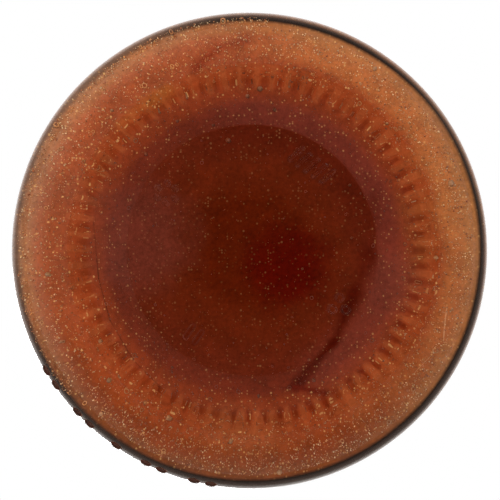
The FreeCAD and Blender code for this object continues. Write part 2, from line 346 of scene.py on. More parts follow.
@dataclass(frozen=True)
class PastePlace:
    """What the paste's material reads of a place on it: where it lies, and how uneven it is there."""

    coords: Socket
    flat: Node
    height: Socket
    turn: Node
    distance: Node
    blotch: Socket
    ragged: Node

    @classmethod
    def read(cls, add: AddNode) -> "PastePlace":
        """Adds the nodes that read the place.

        Args:
            add: what adds nodes to the material.

        Returns:
            What they read.
        """
        coords = add("TexCoord").outputs["Object"]
        x, y, z = add("SeparateXYZ", coords).outputs
        square = add("Math", add("Math", x, x, operation="MULTIPLY"), add("Math", y, y, operation="MULTIPLY"))
        blotch = add("TexNoise", coords, inputs={"Scale": 0.18 / MM, "Detail": 3.0}).outputs["Fac"]
        return cls(
            coords=coords,
            flat=add("VectorMath", coords, (1, 1, 0), operation="MULTIPLY"),
            height=z,
            turn=add("Math", y, x, operation="ARCTAN2"),
            distance=add("Math", square, operation="SQRT"),
            blotch=blotch,
            ragged=add("Math", blotch, 0.5, operation="SUBTRACT"),
        )

    def toward(self, add: AddNode, degrees: float) -> Node:
        """Is 1 where a place lies this way from the axis, and -1 on the far side."""
        away = add("Math", self.turn, math.radians(degrees), operation="SUBTRACT")
        return add("Math", away, operation="COSINE")

    def within(self, add: AddNode, far: Socket, reach: float, soft: float, strength: float) -> Node:
        """A mark's strength, which falls off over its ragged edge.

        Args:
            add: what adds nodes to the material.
            far: the distance from the mark's middle.
            reach: how far from the middle its edge lies, in millimetres.
            soft: how soft the edge is to either side, in millimetres.
            strength: the strength inside the edge.

        Returns:
            The strength there.
        """
        torn = add("Math", self.ragged, 2.4 * soft * MM, operation="MULTIPLY")
        uneven = add("Math", far, torn, operation="ADD")
        return add("MapRange", uneven, (reach - soft) * MM, (reach + soft) * MM, strength, 0.0, **EASED)


@dataclass(frozen=True)
class Patch:
    """A soft-edged round patch of another colour on the paste, seen through the base."""

    x: float
    y: float
    radius: float
    soft: float
    code: str
    strength: float

    def share(self, add: AddNode, at: PastePlace) -> Node:
        """Finds how much of the patch's colour lies on a place.

        Args:
            add: what adds nodes to the material.
            at: the place on the paste.

        Returns:
            The share there, up to the patch's strength.
        """
        offset = add("VectorMath", at.flat, (self.x * MM, self.y * MM, 0), operation="SUBTRACT")
        far = add("VectorMath", offset, operation="LENGTH").outputs["Value"]
        return at.within(add, far, self.radius, self.soft, self.strength)


@dataclass(frozen=True)
class Streak:
    """A soft-edged stroke of another colour on the paste, from one place under the base to another."""

    x1: float
    y1: float
    x2: float
    y2: float
    width: float
    soft: float
    code: str
    strength: float

    def share(self, add: AddNode, at: PastePlace) -> Node:
        """Finds how much of the stroke's colour lies on a place.

        Args:
            add: what adds nodes to the material.
            at: the place on the paste.

        Returns:
            The share there, up to the stroke's strength.
        """
        start = Vector((self.x1, self.y1, 0)) * MM
        run = Vector((self.x2, self.y2, 0)) * MM - start
        offset = add("VectorMath", at.flat, start, operation="SUBTRACT")
        along = add("VectorMath", offset, run / run.length_squared, operation="DOT_PRODUCT").outputs["Value"]
        part = add("Math", along, 1.0, operation="MULTIPLY", use_clamp=True)
        foot = add("VectorMath", run, inputs={3: part}, operation="SCALE")
        far = add("VectorMath", offset, foot, operation="DISTANCE").outputs["Value"]
        return at.within(add, far, self.width, self.soft, self.strength)


@dataclass(frozen=True)
class Arc:
    """A stroke of another colour round part of the base, sharp or soft on each of its two sides.

    It lies between two radii with its own softness at each, about one direction from the axis.
    """

    inner: float
    inner_soft: float
    outer: float
    outer_soft: float
    middle: float
    spread: float
    code: str
    strength: float

    def share(self, add: AddNode, at: PastePlace) -> Node:
        """Finds how much of the arc's colour lies on a place.

        Args:
            add: what adds nodes to the material.
            at: the place on the paste.

        Returns:
            The share there, up to the arc's strength.
        """
        start, stop = (
            ((r - soft / 2) * MM, (r + soft / 2) * MM)
            for r, soft in ((self.inner, self.inner_soft), (self.outer, self.outer_soft))
        )
        rise = add("MapRange", at.distance, *start, **EASED)
        fall = add("MapRange", at.distance, *stop, 1.0, 0.0, **EASED)
        full, none = (math.cos(math.radians(self.spread * k)) for k in (0.6, 1.25))
        sweep = add("MapRange", at.toward(add, self.middle), none, full, 0.0, self.strength, **EASED)
        return add("Math", add("Math", rise, fall, operation="MULTIPLY"), sweep, operation="MULTIPLY")


@dataclass(frozen=True)
class SoupPaste:
    """Concentrated soup base: an oily, salty, finely ground paste with a moist grain.

    Its colour deepens towards the middle of the base as painted shade, where it is least lit.
    """

    rim: str = "#9c4c24"
    # Near black, for the band of painted shade low on the wall.
    shade: str = "#160b06"
    # The colour of painted highlights where oil and salt catch the light.
    painted_glint: str = "#e8b070"
    glint_pitch: float = 0.42
    # Painted shade between the knurls and painted light behind them.
    painted_knurl_shade: str = "#681603"
    painted_knurl_glow: str = "#b8673a"
    lit_side: float = 28.0
    knurl_inner: tuple = (24.7, 25.6)
    knurl_middle: tuple = (25.9, 27.9)
    knurl_outer: tuple = (27.8, 28.8)
    # Where the band of painted shade low on the wall starts and ends, tilted round the jar.
    band_start: float = 9.74
    band_edge: float = 0.35
    band_high_side: float = 85.0
    band_tilt: float = 0.2
    band_dip: float = 0.34
    band_top: tuple = (10.35, 10.9)
    band_top_side: float = 115.0
    band_top_tilt: float = 0.18
    reach: float = 34.0
    # By radius the colour darkens towards the middle: painted shade.
    stops: tuple = (
        (0.0, "#601a04"),
        (7.0, "#601a04"),
        (12.0, "#6a220c"),
        (19.0, "#6c2512"),
        (22.0, "#742814"),
        (24.0, "#883314"),
        (27.5, "#9e4320"),
        (31.4, "#a8491c"),
        (32.2, "#a65c2a"),
        (33.2, "#86604a"),
    )
    # The patches centred past 33 mm from the axis lighten the rim on some sides and darken it on others:
    # painted light and shade.
    patches: tuple = (
        Patch(-6.1, -2.9, 6.0, 3.4, "#560500", 0.85),
        Patch(17.5, 2.0, 7.5, 4.0, "#7a3a2d", 0.5),
        Patch(-22.5, -6.0, 3.5, 3.0, "#7c3a2c", 0.45),
        Patch(2.0, -33.0, 7.5, 3.0, "#b0643a", 0.3),
        Patch(-40.0, 8.0, 11.0, 8.0, "#c98242", 0.4),
        Patch(-26.0, -26.0, 8.0, 7.0, "#c27a44", 0.3),
        Patch(38.5, 12.0, 9.5, 6.0, "#7c5240", 0.5),
        Patch(-18.0, 9.0, 4.0, 3.0, "#64200f", 0.25),
    )
    streaks: tuple = (
        Streak(-19.0, 8.0, -17.9, -0.5, 0.9, 1.6, "#5e1a0a", 0.6),
        Streak(-17.9, -0.5, -15.8, -6.5, 1.0, 1.5, "#561205", 0.7),
        Streak(-15.8, -6.5, -12.5, -14.4, 0.7, 1.0, "#4e0e03", 0.85),
        Streak(-12.5, -14.4, -6.8, -21.3, 0.7, 0.8, "#500f03", 0.9),
        Streak(-6.8, -21.5, -12.2, -22.6, 0.4, 0.6, "#661404", 0.9),
        Streak(8.8, 27.6, 5.0, 30.2, 0.35, 0.6, "#84280d", 0.75),
        Streak(5.0, 30.2, 0.5, 31.2, 0.25, 0.4, "#84280d", 0.6),
        Streak(13.0, 24.5, 20.0, 19.0, 0.4, 1.6, "#b06a2c", 0.5),
        Streak(24.8, 4.2, 24.0, -4.5, 0.04, 0.12, "#2c0c04", 0.75),
        Streak(24.0, -4.5, 22.2, -11.1, 0.04, 0.12, "#2c0c04", 0.8),
        Streak(22.2, -11.1, 18.6, -17.2, 0.04, 0.12, "#2c0c04", 0.8),
        Streak(18.6, -17.2, 13.9, -21.8, 0.04, 0.12, "#2c0c04", 0.65),
        Streak(-29.4, -8.6, -28.5, -13.5, 0.03, 0.08, "#f0b98c", 0.6),
        Streak(-27.4, -15.1, -24.5, -18.4, 0.03, 0.07, "#f0b98c", 0.6),
    )
    # The first arc is painted shade inside the edge of the base plate. The last four, near the rim, are
    # painted light and shade.
    arcs: tuple = (
        Arc(15.5, 3.4, 19.2, 0.35, 122.0, 54.0, "#581406", 0.5),
        Arc(19.3, 0.35, 24.0, 2.5, 128.0, 54.0, "#803a32", 0.3),
        Arc(17.8, 3.4, 24.6, 2.0, 212.0, 36.0, "#853a2c", 0.4),
        Arc(30.0, 1.8, 35.0, 0.5, 284.0, 60.0, "#7e2f06", 0.5),
        Arc(29.5, 2.4, 35.0, 0.5, 155.0, 62.0, "#dd8c50", 0.4),
        Arc(31.4, 2.6, 35.0, 0.5, 20.0, 60.0, "#dea27c", 0.2),
        Arc(28.0, 2.5, 32.0, 2.0, 40.0, 62.0, "#92523a", 0.3),
    )
    knurls: int = 67

    def by_radius(self, add: AddNode, at: PastePlace) -> Node:
        """Colours the paste by its distance from the axis, darker towards the middle as painted shade.

        Args:
            add: what adds nodes to the material.
            at: the place on the paste.

        Returns:
            The colour, whose bounds wander by half a millimetre.
        """
        wander = add("Math", at.ragged, 1.2 * MM, operation="MULTIPLY")
        radius = add("Math", at.distance, wander, operation="ADD")
        ramp = add("ValToRGB", add("Math", radius, self.reach * MM, operation="DIVIDE"))
        paint_ramp(ramp, [(r / self.reach, linear(code)) for r, code in self.stops])
        return ramp

    def painted_knurl_light(self, add: AddNode, under: Socket, at: PastePlace) -> Socket:
        """Paints on the paste the light and shade that the knurls would gather there: painted light and
        painted shade.

        Args:
            add: what adds nodes to the material.
            under: the colour so far.
            at: the place on the paste.

        Returns:
            The colour with a lighter streak of painted light behind each knurl and a deep red one of painted
            shade between two.
        """
        bend = add("Math", at.ragged, 3.0, operation="MULTIPLY")
        rough = add("TexNoise", at.coords, inputs={"Scale": 1.1 / MM, "Detail": 2.0}).outputs["Fac"]
        phase = add("Math", add("Math", at.turn, float(self.knurls), operation="MULTIPLY"), bend)
        torn = add("Math", rough, 1.8, -0.9, operation="MULTIPLY_ADD")
        wave = add("Math", add("Math", phase, operation="COSINE"), torn)
        # The strokes of painted shade between the knurls are ragged and taper outwards.
        tapered = add("Math", wave, add("Math", at.distance, 0.5 / MM, -12.9, operation="MULTIPLY_ADD"))
        between = add("MapRange", tapered, 0.1, -0.9, **EASED)
        behind = add("MapRange", wave, 0.2, 0.9, **EASED)
        edges = ((0.0, self.knurl_inner), (1.0, self.knurl_middle), (1.0, self.knurl_outer))
        inner, middle, outer = (
            add("MapRange", at.distance, start * MM, stop * MM, low, 1 - low, **EASED)
            for low, (start, stop) in edges
        )
        uneven = add("MapRange", at.blotch, 0.35, 0.65, 0.5, 1.0)
        # The painted shade is stronger on the side away from the light.
        unlit = add("MapRange", at.toward(add, self.lit_side + 170), -0.8, 0.6, 0.25, 0.8)
        ring = add("Math", inner, uneven, operation="MULTIPLY")
        for code, factors in (
            (self.painted_knurl_shade, (middle, between, unlit)),
            (self.painted_knurl_glow, (outer, behind, 0.25)),
        ):
            share = ring
            for factor in factors:
                share = add("Math", share, factor, operation="MULTIPLY")
            under = add("Mix", share, inputs={6: under, 7: linear(code)}, data_type="RGBA").outputs[2]
        return under

    def painted_heel_shade(self, add: AddNode, at: PastePlace) -> Node:
        """Finds how much painted shade lies on a place, where the heel's own shade falls.

        Args:
            add: what adds nodes to the material.
            at: the place on the paste.

        Returns:
            The share there, in a band low on the wall that is weaker on the lit side.
        """
        shaded = add("MapRange", at.toward(add, self.lit_side), 0.98, 0.5, 0.5, 1.0, **EASED)
        high_way = at.toward(add, self.band_high_side)
        start = add("Math", high_way, self.band_tilt * MM, self.band_start * MM, operation="MULTIPLY_ADD")
        dip = add("MapRange", high_way, 0.45, 0.95, 0.0, self.band_dip * MM, **EASED)
        above = add("Math", at.height, add("Math", start, dip, operation="SUBTRACT"), operation="SUBTRACT")
        rise = add("Math", above, self.band_edge * MM, operation="DIVIDE", use_clamp=True)
        top_way = at.toward(add, self.band_top_side)
        top = add("Math", top_way, self.band_top_tilt * MM, at.height, operation="MULTIPLY_ADD")
        start_z, stop_z = (z * MM for z in self.band_top)
        fall = add("MapRange", top, start_z, stop_z, 1.0, 0.0, **EASED)
        return add("Math", add("Math", rise, fall, operation="MULTIPLY"), shaded, operation="MULTIPLY")

    def painted_glints(self, add: AddNode, at: PastePlace, band: Node) -> Node:
        """Finds how much painted highlight of the oil and the salt lies at a place.

        Args:
            add: what adds nodes to the material.
            at: the place on the paste.
            band: the share of the heel's shade.

        Returns:
            The share there, highest near the wall and 0 in the heel's shade.
        """
        cells = add("TexVoronoi", at.coords, inputs={"Scale": 1 / (self.glint_pitch * MM)}, feature="F1")
        size, gloss, _ = add("SeparateXYZ", cells.outputs["Color"]).outputs
        reach = add("MapRange", size, 0.55, 1.0, 0.0, 0.42)
        share = add("Math", cells.outputs["Distance"], reach, operation="LESS_THAN")
        for factor in (
            add("MapRange", at.distance, 16 * MM, 30 * MM, 0.16, 1.0),
            add("MapRange", gloss, 0.0, 1.0, 0.15, 0.75),
            add("Math", 1.0, band, operation="SUBTRACT"),
        ):
            share = add("Math", share, factor, operation="MULTIPLY")
        return share

    def make(self) -> Material:
        """Makes the paste's material, coloured by radius under the jar and by grain all over.

        Returns:
            The material.
        """
        material, add = new_material("soup_paste")
        at = PastePlace.read(add)
        colour = self.by_radius(add, at)
        for mark in (*self.patches, *self.arcs, *self.streaks):
            share = mark.share(add, at)
            colour = add("Mix", share, inputs={6: colour, 7: linear(mark.code)}, data_type="RGBA").outputs[2]
        colour = self.painted_knurl_light(add, colour, at)
        # Above the heel the paste shows its plain colour all round.
        side = add("MapRange", at.height, 10 * MM, 13 * MM, **EASED)
        # Low on the wall lies a near-black band of painted shade, weaker on the lit side.
        band = self.painted_heel_shade(add, at)
        for share, code in ((side, self.rim), (band, self.shade)):
            colour = add("Mix", share, inputs={6: colour, 7: linear(code)}, data_type="RGBA").outputs[2]
        # Salt and ground vegetable make a grain of about a third of a millimetre.
        grain = add("TexNoise", at.coords, inputs={"Scale": 1.7 / MM, "Detail": 4.0, "Roughness": 0.65})
        clumps = add("TexNoise", at.coords, inputs={"Scale": 0.26 / MM, "Detail": 5.0, "Roughness": 0.6})
        both = (add("Math", fac, k, operation="MULTIPLY") for fac, k in ((grain, 0.9), (clumps, 0.7)))
        gain = add("MapRange", add("Math", *both), 0.55, 1.05, 0.72, 1.3)
        lit = add("VectorMath", colour, inputs={3: gain}, operation="SCALE")
        # Painted highlights where oil and salt catch the light, most near the wall.
        painted_glint = self.painted_glints(add, at, band)
        lit = add("Mix", painted_glint, inputs={6: lit, 7: linear(self.painted_glint)}, data_type="RGBA").outputs[2]
        bump = add("Bump", inputs={"Strength": 0.35, "Distance": 0.2 * MM, "Height": grain})
        paste = add("BsdfPrincipled", inputs={
            "Base Color": lit, "Roughness": 0.5, "IOR": 1.45, "Specular IOR Level": 0.02, "Normal": bump,
        })
        add("OutputMaterial", paste)
        return material


@dataclass(frozen=True)
class Lacquer:
    """Black oven-cured lacquer on tinplate: satin, with a faint orange-peel skin."""

    code: str = "#0d0d0f"

    def make(self) -> Material:
        """Makes the lacquer, rubbed a little smoother where lids touch.

        Returns:
            The material.
        """
        material, add = new_material("black_lacquer")
        coords = add("TexCoord").outputs["Object"]
        peel = add("TexNoise", coords, inputs={"Scale": 0.9 / MM, "Detail": 2.0}).outputs["Fac"]
        rub = add("TexNoise", coords, inputs={"Scale": 0.07 / MM, "Detail": 6.0}).outputs["Fac"]
        skin = add("BsdfPrincipled", inputs={
            "Base Color": linear(self.code),
            "Roughness": add("MapRange", rub, 0.3, 0.7, 0.24, 0.4),
            "IOR": 1.5,
            "Normal": add("Bump", inputs={"Strength": 0.12, "Distance": 0.05 * MM, "Height": peel}),
        })
        add("OutputMaterial", skin)
        return material


@dataclass(frozen=True)
class PlainSkin:
    """A simple matt or glossy skin for grains, bubbles and the sealing compound.

    It takes its darker inner colour under the middle of the jar: painted shade, as on the paste there.
    """

    name: str
    code: str
    roughness: float
    inner: str = ""

    def make(self) -> Material:
        """Makes the skin, with a little uneven tone from piece to piece.

        Returns:
            The material.
        """
        material, add = new_material(self.name)
        coords = add("TexCoord").outputs["Object"]
        tone = add("TexNoise", coords, inputs={"Scale": 0.4 / MM, "Detail": 1.0}).outputs["Fac"]
        gain = add("MapRange", tone, 0.35, 0.65, 0.6, 1.1)
        flat = add("VectorMath", coords, (1, 1, 0), operation="MULTIPLY")
        far = add("VectorMath", flat, operation="LENGTH").outputs["Value"]
        # Darker towards the middle of the jar: painted shade.
        colours = {6: linear(self.inner or self.code), 7: linear(self.code)}
        tint = add("Mix", add("MapRange", far, 23 * MM, 32 * MM), inputs=colours, data_type="RGBA").outputs[2]
        colour = add("VectorMath", tint, inputs={3: gain}, operation="SCALE")
        skin = add("BsdfPrincipled", inputs={"Base Color": colour, "Roughness": self.roughness})
        add("OutputMaterial", skin)
        return material


# Pieces


class Mark(Enum):
    """Generic relief marks of the glassworks on the base plate."""

    DOT_RING = "ring of small dots"
    BAR_ROW = "row of short bars"
    DOT_TRIANGLE = "triangle of dots"
    BAR_PAIR = "pair of short bars"


@dataclass
class Glass:
    """The jar's glass, from the knurled foot to the lip.

    A mark is its kind, its direction from the axis and its height. The baffle line's sweep says
    where it starts, is full, is still full and ends.
    """

    body_r: float = 36.5
    label_r: float = 36.0
    inner_r: float = 33.6
    neck_ring_r: float = 31.3
    neck_r: float = 30.2
    bore_r: float = 27.5
    height: float = 80.0
    push_up: float = 3.6
    plate_r: float = 19.0
    plate_edge_z: float = 3.1
    plate_centre_r: float = 12.0
    bearing_r: float = 25.2
    bearing_z: float = 0.4
    foot_edge_r: float = 28.6
    heel_round: float = 7.6
    floor_z: float = 7.8
    floor_edge_r: float = 24.0
    floor_edge_z: float = 6.2
    floor_round: float = 7.0
    knurls: int = 67
    knurl_r: float = 26.7
    knurl_length: float = 3.4
    knurl_width: float = 2.1
    knurl_height: float = 0.32
    baffle_r: float = 24.6
    baffle_depth: float = 0.1
    baffle_width: float = 0.22
    baffle_sweep: tuple = (-62, -50, 2, 14)
    dots: tuple = (0, 1, 3, 4, 6, 8, 9, 11, 12)
    dot_start: float = 280.0
    dot_pitch: float = 4.13
    dot_z: float = 5.8
    dot_r: float = 0.9
    dot_height: float = 0.38
    dot_band: tuple = (4.0, 7.6)
    dot_band_r: float = 34.0
    marks: tuple = (
        (Mark.DOT_RING, 33.0, 0.45),
        (Mark.BAR_ROW, 125.0, 0.42),
        (Mark.DOT_TRIANGLE, 213.0, 0.4),
        (Mark.BAR_PAIR, 305.0, 0.2),
    )
    mark_r: float = 15.6
    thread_start: float = 71.5
    thread_end: float = 79.2
    thread_drop: float = 5.4
    thread_lead: float = 9.0
    thread_height: float = 1.2
    seams: tuple = (50.0, -130.0)
    seam_height: float = 0.07
    seam_half: float = 0.45
    wave_height: float = 0.05
    waves_per_mm: float = 0.11

    def plate_z(self, r: float) -> float:
        """Height of the base plate at a radius."""
        return self.push_up + (self.plate_edge_z - self.push_up) * r / self.plate_r

    def foot_slope_z(self, r: float) -> float:
        """Height of the slope between the base plate and the bearing ring."""
        share = (r - self.plate_r) / (self.bearing_r - self.plate_r)
        return self.plate_edge_z + (self.bearing_z - self.plate_edge_z) * share

    def knurl_relief(self, r: float, angle: float) -> float:
        """How far the nearest knurl stands out at a point of the foot, in millimetres.

        Each knurl has its own width, length, lean and height, as a worn mould leaves them.

        Args:
            r: the point's distance from the axis.
            angle: its angle round the axis, in radians.

        Returns:
            The height there, which is 0 off the knurl.
        """
        pitch = math.tau / self.knurls
        chance = random.Random(100 + round(angle / pitch) % self.knurls)
        width, length = chance.uniform(0.62, 1.0), chance.uniform(0.7, 1.0)
        lean, lift = chance.uniform(-0.35, 0.35), chance.uniform(0.45, 1.0)
        out = r - self.knurl_r
        along = out / (self.knurl_length / 2 * length)
        offset = (angle + pitch / 2) % pitch - pitch / 2
        across = (offset * r + lean * out) / (self.knurl_width / 2 * width * (1 + 0.3 * along))
        q = across * across + along * along
        return self.knurl_height * lift * (1 - q) ** 0.5 if q < 1 else 0.0

    @staticmethod
    def from_dots(out: float, side: float, count: int, radius: float) -> float:
        """Distance to the nearest of some dots that stand in a ring round a mark's middle."""
        turns = [k * math.tau / count for k in range(count)]
        return min(math.hypot(out - radius * math.cos(a), side - radius * math.sin(a)) for a in turns)

    @staticmethod
    def from_bars(out: float, side: float, count: int, half: float, pitch: float) -> float:
        """Distance to the nearest of some bars, half as long as this, that stand side by side."""
        places = [(k - (count - 1) / 2) * pitch for k in range(count)]
        return min(math.hypot(max(0.0, abs(out) - half), side - place) for place in places)

    def mark_relief(self, x: float, y: float) -> float:
        """Finds how far a glassworks mark stands out at a point of the base plate.

        Args:
            x: the point's place along X.
            y: its place along Y.

        Returns:
            The height there, which is 0 off the marks.
        """
        height = 0.0
        for mark, angle, relief in self.marks:
            a = math.radians(angle)
            out = x * math.cos(a) + y * math.sin(a) - self.mark_r
            side = -x * math.sin(a) + y * math.cos(a)
            if abs(out) > 3.2 or abs(side) > 4.2:
                continue
            if mark is Mark.DOT_RING:
                fall = smooth(0.28, 0.52, self.from_dots(out, side, 6, 1.5))
            elif mark is Mark.BAR_ROW:
                # These bars lean.
                fall = smooth(0.18, 0.42, self.from_bars(out, side - 0.25 * out, 5, 1.1, 1.45))
            elif mark is Mark.DOT_TRIANGLE:
                fall = smooth(0.45, 0.75, self.from_dots(out, side, 3, 1.2))
            else:
                fall = smooth(0.2, 0.5, self.from_bars(out, side, 2, 0.9, 1.6))
            height = max(height, relief * (1 - fall))
        return height

    def press_foot(self, verts: Sequence[BMVert]) -> None:
        """Raises the knurls and the marks on the underside, and sinks the baffle line.

        Args:
            verts: the foot's vertices.
        """
        start, full, still, end = self.baffle_sweep
        steep = []
        for v in verts:
            r, angle = polar(v)
            drop = 0.0
            if abs(r - self.knurl_r) < self.knurl_length / 2:
                drop = self.knurl_relief(r, angle)
            elif r < self.plate_r:
                drop = self.mark_relief(v.co.x, v.co.y)
                if 0.06 < drop < 0.3:
                    steep.append(v)
            degrees = math.degrees(angle)
            line = max(0.0, 1 - abs(r - self.baffle_r) / self.baffle_width)
            line *= smooth(start, full, degrees) * (1 - smooth(still, end, degrees))
            v.co.z -= drop - self.baffle_depth * line
        # The steep edges of the marks take the tinted glass: painted shade that outlines them.
        for v in steep:
            for face in v.link_faces:
                face.material_index = 2

    def press_dots(self, bm: BMesh) -> None:
        """Refines the heel where the row of dots stands, and raises them.

        Args:
            bm: the glass so far, with its walls.
        """
        first, last = self.dot_start - 4, self.dot_start + self.dot_pitch * self.dots[-1] + 4
        low, high = self.dot_band

        def in_row(p: Vector) -> bool:
            """Whether a place lies on the heel where the dots stand."""
            angle = math.degrees(math.atan2(p.y, p.x)) % 360
            return first < angle < last and low < p.z < high and math.hypot(p.x, p.y) > self.dot_band_r

        faces = [f for f in bm.faces if in_row(f.calc_center_median())]
        edges = {e for f in faces for e in f.edges}
        bmesh.ops.subdivide_edges(bm, edges=list(edges), cuts=5, use_grid_fill=True)
        heel = Vector((self.body_r - self.heel_round, 0, self.bearing_z + self.heel_round))
        for v in [v for v in bm.verts if in_row(v.co)]:
            angle = polar(v)[1]
            for place in self.dots:
                a = math.radians(self.dot_start + self.dot_pitch * place)
                turned = (angle - a + math.pi) % math.tau - math.pi
                far = math.hypot(turned * self.body_r, v.co.z - self.dot_z)
                if far >= self.dot_r:
                    continue
                # The dots take the dark tinted glass: painted shade.
                for face in v.link_faces:
                    face.material_index = 1
                centre = Vector((heel.x * math.cos(angle), heel.x * math.sin(angle), heel.z))
                lift = self.dot_height * (1 - (far / self.dot_r) ** 2) ** 0.5
                v.co += (v.co - centre).normalized() * lift

    def press_threads(self, verts: Sequence[BMVert]) -> None:
        """Raises the four slanted threads on the neck.

        Args:
            verts: the neck's vertices.
        """
        for v in verts:
            r, angle = polar(v)
            if abs(r - self.neck_r) > 0.05 or v.co.z < self.thread_start + 0.5:
                continue
            degrees = math.degrees(angle) % 90
            middle = self.height - self.thread_drop + self.thread_lead * degrees / 360
            ends = smooth(0, 5, degrees) * (1 - smooth(55, 60, degrees))
            lift = self.thread_height * ends * (1 - smooth(0.5, 1.0, abs(v.co.z - middle)))
            widen(v, (r + lift) / r)

    def press_walls(self, verts: Sequence[BMVert]) -> None:
        """Gives the outer wall the slight waviness of blown glass and its two mould seams.

        Args:
            verts: the walls' vertices.
        """
        for v in verts:
            r, angle = polar(v)
            if r < self.inner_r + 1.2 or v.co.z < 8:
                continue
            degrees = math.degrees(angle)
            spot = Vector((v.co.x, v.co.y, v.co.z * 0.6)) * self.waves_per_mm
            wave = noise.noise(spot) * self.wave_height
            seam = self.seam_height if min(abs(degrees - s) for s in self.seams) < self.seam_half else 0.0
            widen(v, (r + wave + seam - 0.03) / r)

    def build(self, finish: Material, dot_finish: Material, mark_finish: Material) -> bpy.types.Object:
        """Turns the glass in rings of matching fineness and joins them.

        Args:
            finish: the glass.
            dot_finish: the dark tinted glass of the heel's dots: painted shade.
            mark_finish: the tinted glass at the steep edges of the marks: painted shade that outlines them.

        Returns:
            The glass, as one closed piece.
        """
        bm = bmesh.new()
        centre = [Corner(0, self.push_up), Corner(self.plate_centre_r, self.plate_z(self.plate_centre_r))]
        turn_section(bm, centre, 2.5, 1.0, self.knurls, 2)
        refine_ring(bm, centre[1].r, centre[1].z, 5)
        walls = [
            Corner(self.foot_edge_r, self.bearing_z),
            Corner(self.body_r, self.bearing_z, self.heel_round),
            Corner(self.body_r, 11.4, 0.5),
            Corner(self.label_r, 12.6, 0.8),
            Corner(self.label_r, 60.2, 0.8),
            Corner(self.body_r, 61.4, 0.5),
            Corner(self.body_r, 67.2, 6.2),
            Corner(self.neck_ring_r, 69.0, 0.5),
            Corner(self.neck_ring_r, 71.2, 0.5),
            Corner(self.neck_r, 71.2, 0.25),
            Corner(self.neck_r, self.thread_start),
        ]
        self.press_walls(turn_section(bm, walls, 2.6, 0.55, self.knurls, 4))
        refine_ring(bm, self.foot_edge_r, self.bearing_z, 2)
        self.press_dots(bm)
        foot = [
            Corner(centre[1].r, centre[1].z, step=0.28),
            Corner(18.2, self.plate_z(18.2), step=1.0),
            Corner(self.plate_r, self.plate_edge_z, 1.2, step=1.2),
            Corner(24.0, self.foot_slope_z(24.0), step=0.22),
            Corner(self.bearing_r, self.bearing_z, 1.4, step=0.24),
            Corner(self.foot_edge_r, self.bearing_z),
        ]
        self.press_foot(turn_section(bm, foot, 0.26, 0.25, self.knurls, 12))
        neck = [Corner(self.neck_r, self.thread_start), Corner(self.neck_r, self.thread_end)]
        self.press_threads(turn_section(bm, neck, 0.35, 1.0, self.knurls, 4))
        inside = [
            Corner(self.neck_r, self.thread_end),
            Corner(self.neck_r, self.height, 0.79),
            Corner(self.bore_r, self.height, 0.8),
            Corner(self.bore_r, 67.0, 3.0),
            Corner(self.inner_r, 65.2, 3.0),
            Corner(self.inner_r, self.floor_edge_z, self.floor_round),
            Corner(self.floor_edge_r, self.floor_edge_z),
            Corner(0, self.floor_z),
        ]
        turn_section(bm, inside, 3.2, 0.7, self.knurls, 4)
        return to_object(bm, "glass_body", finish, dot_finish, mark_finish)


@dataclass
class SoupBase:
    """The paste: it wets the glass up to its level and is uneven on top."""

    level: float = 60.5
    reach: float = 0.06
    worked: float = 3.0
    glass: Glass = field(default_factory=Glass)

    def rise(self, v: BMVert) -> float:
        """Finds how far the uneven top stands above its plain section.

        Args:
            v: the vertex.

        Returns:
            The rise in millimetres.
        """
        g, (r, angle) = self.glass, polar(v)
        at_wall = smooth(g.inner_r - 1.6, g.inner_r - 0.4, r)
        climb = noise.noise(Vector((math.cos(angle) * 2.2, math.sin(angle) * 2.2, 4.0)))
        climb += 0.5 * noise.noise(Vector((math.cos(angle) * 7, math.sin(angle) * 7, 9.0)))
        swirl = math.sin(angle + r * 0.42) * 0.35 * smooth(1, 8, r)
        lump = noise.noise(v.co * 0.22) * 0.5 + noise.noise(v.co * 0.7) * 0.18
        return at_wall * (1.6 * climb + 0.5) + (1 - at_wall) * (swirl + lump)

    def build(self, finish: Material) -> bpy.types.Object:
        """Turns the paste, a hair into the wall, and works its top uneven.

        Args:
            finish: the paste's material.

        Returns:
            The paste, as one closed piece.
        """
        g, t = self.glass, self.reach
        bm = bmesh.new()
        line = [
            Corner(0, g.floor_z - t),
            Corner(g.floor_edge_r, g.floor_edge_z - t),
            Corner(g.inner_r + t, g.floor_edge_z - t, g.floor_round + t),
            Corner(g.inner_r + t, self.level + 0.6),
            Corner(g.inner_r - 0.5, self.level + 0.5, 0.3),
            Corner(g.inner_r - 1.4, self.level, 0.6),
            Corner(g.inner_r - 6, self.level - 0.1, 3.0),
            Corner(0, self.level - 0.8),
        ]
        turn_section(bm, line, 1.2, 0.8, 24, 10)
        low = self.level - self.worked
        for v in bm.verts:
            if v.co.z >= low:
                v.co.z += smooth(low, self.level, v.co.z) * self.rise(v)
        return to_object(bm, "soup_paste", finish)


